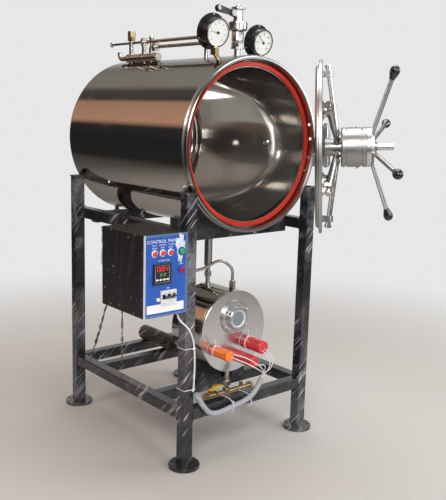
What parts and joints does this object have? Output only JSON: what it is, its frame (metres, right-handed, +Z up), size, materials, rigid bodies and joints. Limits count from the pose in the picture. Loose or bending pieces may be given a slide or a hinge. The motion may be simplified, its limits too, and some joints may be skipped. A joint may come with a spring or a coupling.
{
  "type": "horizontal autoclave",
  "caption": "Horizontal steam autoclave with a hinged round door, spoked locking wheel, lower boiler and control box on a square-tube stand.",
  "frame": {"origin": "middle of the whole object's footprint, on the floor, with the door part open", "axes": "+Z up, -Y the way the chamber's mouth faces, +X the side of the door's hinge"},
  "size_m": [0.83, 1.283, 1.475],
  "materials": {
    "black_iron": "blackened cast lever",
    "black_plastic": "black phenolic plastic",
    "box_grey": "dark grey powder coat under film",
    "brass": "plain brass",
    "cap_red": "red and orange rubber caps",
    "glass": "clear sight glass",
    "green_plastic": "green push button",
    "grey_plastic": "light grey moulded plastic",
    "grey_sleeve": "grey braided sleeve",
    "lamp_plastic": "orange lamp lens",
    "nickel": "nickel-plated pipe",
    "painted_black": "black paint under thin wrapping film",
    "panel_blue": "blue printed panel",
    "polished_steel": "mirror-polished stainless steel",
    "red_plastic": "red push button",
    "red_rubber": "red silicone rubber",
    "satin_steel": "brushed stainless steel",
    "white_lead": "white silicone-covered lead",
    "white_paint": "white gauge dial in a steel case",
    "yellow_paint": "yellow dipped handle"
  },
  "bodies": {
    "autoclave": {"leg_front_left": "painted_black", "leg_front_right": "painted_black", "leg_rear_left": "painted_black", "leg_rear_right": "painted_black", "side_rails": "painted_black", "cross_rails": "painted_black", "saddles": "painted_black", "jacket": "polished_steel", "rear_head": "polished_steel", "door_ring": "satin_steel", "gasket": "red_rubber", "chamber_shell": "polished_steel", "chamber_back": "polished_steel", "hinge_bracket": "polished_steel", "gauge_left": "white_paint", "gauge_right": "white_paint", "gauge_stems": "brass", "safety_valve": "satin_steel", "back_pipework": "nickel", "air_vent": "brass", "boiler_shell": "polished_steel", "boiler_back": "polished_steel", "boiler_plate": "polished_steel", "sight_flange": "satin_steel", "sight_glass": "glass", "heater_caps": "cap_red", "heater_sleeve": "grey_sleeve", "steam_pipe": "polished_steel", "pressure_tube": "nickel", "drain_pipe": "nickel", "drain_valve": "brass", "drain_header": "painted_black", "control_box": "box_grey", "control_panel": "panel_blue", "lamps": "lamp_plastic", "controller": "grey_plastic", "breaker": "grey_plastic", "jacket_nozzles": "nickel", "heater_leads": "white_lead", "riser_cable": "white_lead"},
    "door": {"door_plate": "polished_steel", "bar_guides": "polished_steel", "lock_drum": "polished_steel"},
    "handwheel": {"handwheel": "polished_steel", "wheel_knobs": "black_plastic"},
    "valve_lever": {"valve_lever": "black_iron"},
    "drain_handle": {"drain_valve_handle": "yellow_paint"},
    "toggle": {"breaker_toggle": "black_plastic"},
    "start_button": {"button_start": "green_plastic"},
    "stop_button": {"button_stop": "red_plastic"},
    "lock_bar_1": {"lock_bar_1": "polished_steel"},
    "lock_bar_2": {"lock_bar_2": "polished_steel"},
    "lock_bar_3": {"lock_bar_3": "polished_steel"},
    "lock_bar_4": {"lock_bar_4": "polished_steel"},
    "lock_bar_5": {"lock_bar_5": "polished_steel"},
    "lock_bar_6": {"lock_bar_6": "polished_steel"}
  },
  "joints": [
    {"name": "door_hinge", "type": "hinge", "parent": "autoclave", "child": "door", "pos_m": [0.34853, -0.11549, 1.03], "axis": [-0.0724, 0, 0.9974], "range_deg": [-42.2, 60]},
    {"name": "handwheel_spin", "type": "hinge", "parent": "door", "child": "handwheel", "pos_m": [0.19185, -0.42445, 1.0421], "axis": [0.67, -0.7408, 0.0486], "range_deg": [0, 360]},
    {"name": "lock_bar_1_slide", "type": "slide", "parent": "door", "child": "lock_bar_1", "axis": [-0.106, 0.1449, 0.9837], "range_m": [0, 0.014]},
    {"name": "lock_bar_2_slide", "type": "slide", "parent": "door", "child": "lock_bar_2", "axis": [0.5405, 0.6961, 0.4726], "range_m": [0, 0.014]},
    {"name": "lock_bar_3_slide", "type": "slide", "parent": "door", "child": "lock_bar_3", "axis": [0.559, 0.6479, -0.5175], "range_m": [0, 0.014]},
    {"name": "lock_bar_4_slide", "type": "slide", "parent": "door", "child": "lock_bar_4", "axis": [-0.0689, 0.0485, -0.9964], "range_m": [0, 0.014]},
    {"name": "lock_bar_5_slide", "type": "slide", "parent": "door", "child": "lock_bar_5", "axis": [-0.7154, -0.5026, -0.4853], "range_m": [0, 0.014]},
    {"name": "lock_bar_6_slide", "type": "slide", "parent": "door", "child": "lock_bar_6", "axis": [-0.734, -0.4544, 0.5048], "range_m": [0, 0.014]},
    {"name": "valve_lever_pivot", "type": "hinge", "parent": "autoclave", "child": "valve_lever", "pos_m": [0.00103, 0.00051, 1.446], "axis": [0, 1, 0], "range_deg": [0, 20]},
    {"name": "drain_handle_turn", "type": "hinge", "parent": "autoclave", "child": "drain_handle", "pos_m": [-0.06897, -0.02149, 0.196], "axis": [0, 0, 1], "range_deg": [-90, 0]},
    {"name": "breaker_toggle_rock", "type": "hinge", "parent": "autoclave", "child": "toggle", "pos_m": [-0.32697, -0.12649, 0.583], "axis": [1, 0, 0], "range_deg": [0, 50]},
    {"name": "start_button_press", "type": "slide", "parent": "autoclave", "child": "start_button", "axis": [0, 1, 0], "range_m": [0, 0.004], "stiffness_N_per_m": 300},
    {"name": "stop_button_press", "type": "slide", "parent": "autoclave", "child": "stop_button", "axis": [0, 1, 0], "range_m": [0, 0.004], "stiffness_N_per_m": 300}
  ],
  "couplings": [
    {"joint": "lock_bar_1_slide", "follows": "handwheel_spin", "m_per_rad": 0.0022},
    {"joint": "lock_bar_2_slide", "follows": "handwheel_spin", "m_per_rad": 0.0022},
    {"joint": "lock_bar_3_slide", "follows": "handwheel_spin", "m_per_rad": 0.0022},
    {"joint": "lock_bar_4_slide", "follows": "handwheel_spin", "m_per_rad": 0.0022},
    {"joint": "lock_bar_5_slide", "follows": "handwheel_spin", "m_per_rad": 0.0022},
    {"joint": "lock_bar_6_slide", "follows": "handwheel_spin", "m_per_rad": 0.0022}
  ]
}
